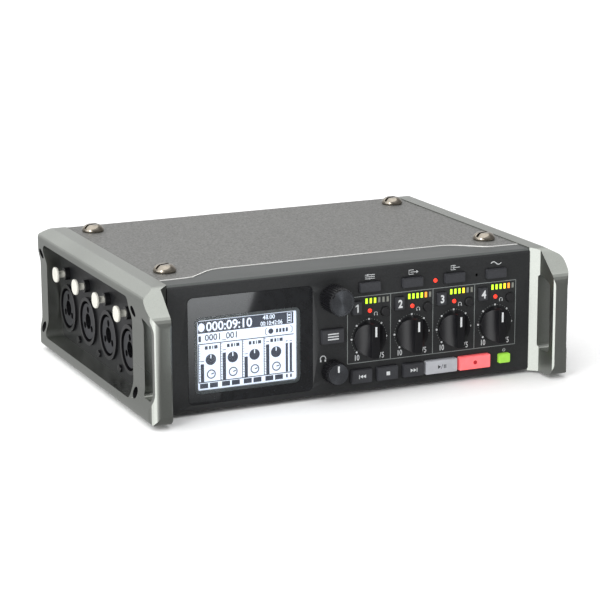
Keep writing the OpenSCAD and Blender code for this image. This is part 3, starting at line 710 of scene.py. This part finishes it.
def frame_ring(name, cx, cz, outer, ox, oz, inner, back, ahead, material):
    """A flat ring between two outlines of equal point count, from back to ahead of the panel face."""
    bm = bmesh.new()

    def loop(points, px, pz, depth):
        return [bm.verts.new(Vector((px + a, FACE_Y - depth, pz + b)) * MM) for a, b in points]

    outer_lo, outer_hi = loop(outer, cx, cz, back), loop(outer, cx, cz, ahead)
    inner_lo, inner_hi = loop(inner, ox, oz, back), loop(inner, ox, oz, ahead)
    count = len(outer)
    for i in range(count):
        j = (i + 1) % count
        bm.faces.new((outer_hi[i], outer_hi[j], inner_hi[j], inner_hi[i]))
        bm.faces.new((outer_lo[j], outer_lo[i], inner_lo[i], inner_lo[j]))
        bm.faces.new((outer_lo[i], outer_lo[j], outer_hi[j], outer_hi[i]))
        bm.faces.new((inner_hi[i], inner_hi[j], inner_lo[j], inner_lo[i]))
    bmesh.ops.recalc_face_normals(bm, faces=bm.faces)
    mesh = bpy.data.meshes.new(name)
    bm.to_mesh(mesh)
    bm.free()
    return finish_mesh(name, mesh, "case", material)


def display():
    """Black-printed lens with a clear window, and the lit panel behind it."""
    lo, hi = span("display_window")
    cx, cz = (lo.x + hi.x) / 2, (lo.z + hi.z) / 2
    w, h = hi.x - lo.x, hi.z - lo.z
    x, z = LCD["x"], LCD["z"]
    rim = 1.3
    mask = frame_ring("lens_mask", cx, cz, rounded(w, h, 2.1), x, z,
                      rounded(LCD["w"] + 2 * rim, LCD["h"] + 2 * rim, 2.4), -1.4, 0.05, "lens_black")
    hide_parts("display_window")
    frame_ring("lens_rim", x, z, rounded(LCD["w"] + 2 * rim, LCD["h"] + 2 * rim, 2.4), x, z,
               rounded(LCD["w"] - 0.1, LCD["h"] - 0.1, 0.9), -1.2, -0.25, "lens_rim")
    pane = Sheet((x, FACE_Y + 0.2, z), thick=0.22)
    pane.poly(rounded(LCD["w"] + 2 * rim, LCD["h"] + 2 * rim, 2.4))
    pane.done("lens_pane", "case", "glass")
    back = Sheet((x, FACE_Y + 1.4, z), thick=0.3)
    back.poly(rounded(LCD["w"], LCD["h"], 0.9))
    back.done("lcd_backlight", "case", "lcd")

    def page():
        """A sheet whose a and b run from the display's top left corner, b downwards as negative."""
        return Sheet((x - LCD["w"] / 2, FACE_Y + 1.1, z + LCD["h"] / 2), thick=0.04)

    dark = page()
    dark.rect(20.2, -2.85, 39.2, 4.7)
    for i in range(4):
        a = 0.7 + i * 8.95
        dark.line((a, -9.4), (a, -24.2), 0.3)
        for k, wide in enumerate((1.1, 0.8, 0.4, 1.3)):
            dark.rect(a + (3.2, 4.7, 5.8, 7.1)[k], -11.0, wide, 1.3)
        for k in range(15):
            dark.rect(a + 0.35, -10.0 - k, 0.5 if k % 3 else 0.9, 0.16)
        dark.disc(a + 5.0, -15.7, 2.15, 28)
        dark.arc(a + 5.1, -21.4, 1.6, 0.42, 0, 360, 24)
        dark.line((a + 5.1, -21.4), (a + 6.2, -21.1), 0.42)
        top = (17.2, 13.6, 16.2, 12.4)[i]
        dark.rect(a + 1.5, -(top + 24.2) / 2, 1.35, 24.2 - top)
        dark.rect(a + 1.5, -top + 1.1, 1.35, 0.25)
        dark.rect(a + 2.1, -25.75, 3.3, 1.9)
        dark.rect(a + 6.1, -25.75, 3.3, 1.9)
    dark.line((0.6, -9.4), (39.9, -9.4), 0.34)
    dark.line((0.6, -24.35), (39.9, -24.35), 0.34)
    for a in (37.0, 38.7):
        dark.rect(a, -18.4, 0.95, 11.4)
        dark.rect(a, -11.9, 0.95, 0.25)
        dark.rect(a, -25.7, 0.7, 1.3)
    dark.text("0001_001", 9.9, -7.25, 2.9, 1.0, 0.014)
    dark.rect(1.3, -7.35, 1.0, 2.2)
    dark.disc(30.4, -7.35, 1.05, 20)
    for k in range(4):
        dark.rect(33.0 + 1.35 * k, -7.35, 0.9, 1.5)
    for a, way in ((28.2, 1), (39.3, -1)):
        dark.band([(a + way * 0.7, -6.0), (a, -6.5), (a, -8.2), (a + way * 0.7, -8.7)], 0.25)
    dark.done("lcd_dark_areas", "case", "lcd_dark")

    light = Sheet((x - LCD["w"] / 2, FACE_Y + 1.05, z + LCD["h"] / 2), thick=0.04)
    light.disc(2.0, -2.9, 1.35, 20, 1.25)
    light.text("000:09:10", 13.3, -2.85, 3.7, 0.97, 0.02)
    light.text("48.00", 29.6, -1.65, 1.75, 0.95, 0.012)
    light.text("00:10:42:06", 30.7, -4.05, 1.75, 0.82, 0.012)
    light.band([(37.3, -0.9), (38.9, -0.9), (38.9, -4.7), (37.3, -4.7)], 0.28, closed=True)
    for k in range(3):
        light.rect(38.1, -1.75 - 1.05 * k, 0.9, 0.5)
    for i in range(4):
        light.rect(0.7 + i * 8.95 + 5.0, -14.5, 0.4, 1.5)
        light.text(str(i + 1), 0.7 + i * 8.95 + 4.1, -25.75, 1.3, 0.9, 0.02)
    light.done("lcd_light_areas", "case", "lcd")


# ---------------------------------------------------------------- stage

def floor():
    size, z = 3.0, 0.0
    mesh = bpy.data.meshes.new("floor")
    corners = [(-size, -size, z), (size, -size, z), (size, size, z), (-size, size, z)]
    mesh.from_pydata(corners, [], [(0, 1, 2, 3)])
    obj = bpy.data.objects.new("floor", mesh)
    bpy.context.scene.collection.objects.link(obj)
    n = Nodes("floor_white")
    n.link(n.ramp(n.noise(400), (0.9, 0.9, 0.9, 1), (0.92, 0.92, 0.92, 1)), n.bsdf.inputs["Base Color"])
    n.set(Roughness=0.9, Specular_IOR_Level=0.1)
    mesh.materials.append(n.mat)
    obj.visible_glossy = False


def lens_card():
    """A lit card in front of the floor, seen only as the pale streak that it leaves in the lens."""
    eye = Vector(camera_place())
    eye.y = 2 * (FACE_Y - 0.05) * MM - eye.y
    corners = []
    for x, z in ((-70.5, 47.5), (-41.3, 47.5), (-57.0, 5.1), (-70.5, 5.1)):
        on_lens = Vector((x, FACE_Y - 0.05, z)) * MM
        ray = on_lens - eye
        corners.append(on_lens + ray * ((on_lens.z - 0.002) / -ray.z))
    mesh = bpy.data.meshes.new("lens_card")
    mesh.from_pydata(corners, [], [(0, 1, 2, 3)])
    obj = bpy.data.objects.new("lens_card", mesh)
    bpy.context.scene.collection.objects.link(obj)
    n = Nodes("lens_card")
    split = n.add("ShaderNodeSeparateXYZ")
    n.link(n.coords, split.inputs["Vector"])
    fade = n.add("ShaderNodeMapRange")
    fade.inputs["From Min"].default_value = max(c.y for c in corners)
    fade.inputs["From Max"].default_value = min(c.y for c in corners)
    fade.inputs["To Min"].default_value = 0.6
    fade.inputs["To Max"].default_value = 6.0
    n.link(split.outputs["Y"], fade.inputs["Value"])
    n.link(fade.outputs["Result"], n.bsdf.inputs["Emission Strength"])
    n.set(Base_Color=(0, 0, 0, 1), Emission_Color=(0.95, 0.98, 1, 1))
    mesh.materials.append(n.mat)
    obj.visible_camera = obj.visible_diffuse = obj.visible_shadow = False


def area(name, where, aim, size, power, color=(1, 1, 1)):
    light = bpy.data.lights.new(name, "AREA")
    light.shape = "RECTANGLE"
    light.size, light.size_y = size
    light.energy = power
    light.color = color
    obj = bpy.data.objects.new(name, light)
    bpy.context.scene.collection.objects.link(obj)
    obj.location = where
    obj.rotation_euler = (Vector(aim) - Vector(where)).to_track_quat("-Z", "Y").to_euler()


def softbox(tree, toward, start, full, strength):
    """A soft bright patch of the studio around one direction, as a socket."""
    coords = tree.nodes.new("ShaderNodeTexCoord")
    dot = tree.nodes.new("ShaderNodeVectorMath")
    dot.operation = "DOT_PRODUCT"
    dot.inputs[1].default_value = Vector(toward).normalized()
    tree.links.new(coords.outputs["Generated"], dot.inputs[0])
    span_ = tree.nodes.new("ShaderNodeMapRange")
    span_.interpolation_type = "SMOOTHSTEP"
    span_.inputs["From Min"].default_value = start
    span_.inputs["From Max"].default_value = full
    span_.inputs["To Max"].default_value = strength
    tree.links.new(dot.outputs["Value"], span_.inputs["Value"])
    return span_.outputs["Result"]


def studio():
    """A pale room, brighter to the left and overhead; the floor is left out of reflections."""
    world = bpy.data.worlds.new("studio")
    bpy.context.scene.world = world
    world.use_nodes = True
    tree = world.node_tree
    tree.nodes["Background"].inputs["Color"].default_value = (1, 1, 1, 1)
    total = None
    for patch in ((-0.92, -0.38, -0.15), 0.6, 0.93, 2.4), ((-0.45, 0.87, -0.1), 0.4, 0.95, 0.25), \
            ((0.0, -0.3, 0.95), 0.55, 0.95, 0.45), \
            ((0.4, 0.85, 0.3), 0.6, 0.95, 0.4):
        light = softbox(tree, *patch)
        join = tree.nodes.new("ShaderNodeMath")
        join.operation = "ADD"
        join.inputs[1].default_value = 0.3
        tree.links.new(light, join.inputs[0])
        if total is not None:
            tree.links.new(total, join.inputs[1])
        total = join.outputs["Value"]
    tree.links.new(total, tree.nodes["Background"].inputs["Strength"])
    sky = bpy.data.lights.new("soft_sky", "SUN")
    sky.angle = math.radians(100)
    sky.energy = 2.4
    lamp = bpy.data.objects.new("soft_sky", sky)
    bpy.context.scene.collection.objects.link(lamp)
    lamp.rotation_euler = (math.radians(-12), math.radians(-14), 0)
    area("left_strip", (-0.75, -0.55, 0.32), (-0.05, -0.02, 0.03), (0.25, 0.6), 3.2)
    bpy.context.scene.view_settings.view_transform = "Standard"


def view_axes():
    """Right, up and back of the camera, and its place."""
    azimuth, elevation, roll = math.radians(-24.132), math.radians(13.56), math.radians(-0.251)
    aim = Vector((0.0, 0.0009, 0.0255))
    side, rise, distance = 0.002367, 0.000105, 0.9103
    back = Vector((math.sin(azimuth) * math.cos(elevation), -math.cos(azimuth) * math.cos(elevation),
                   math.sin(elevation)))
    right = Vector((0, 0, 1)).cross(back).normalized()
    up = back.cross(right)
    turn = Matrix.Rotation(roll, 3, back)
    right, up = turn @ right, turn @ up
    return right, up, back, aim + right * side + up * rise + back * distance


def camera_place():
    return view_axes()[3]


def camera():
    """The photograph's view: 24 degrees to the left of the front, 14 degrees up, through a long lens."""
    right, up, back, place = view_axes()
    data = bpy.data.cameras.new("camera")
    data.sensor_width, data.lens = 36.0, 133.2
    obj = bpy.data.objects.new("camera", data)
    bpy.context.scene.collection.objects.link(obj)
    obj.matrix_world = Matrix((
        (right.x, up.x, back.x, place.x), (right.y, up.y, back.y, place.y),
        (right.z, up.z, back.z, place.z), (0, 0, 0, 1)))
    bpy.context.scene.camera = obj


camera()
case_parts()
cover_seam()
socket_parts()
control_parts()
lamps()
panel_print()
key_print()
display()
floor()
lens_card()
studio()
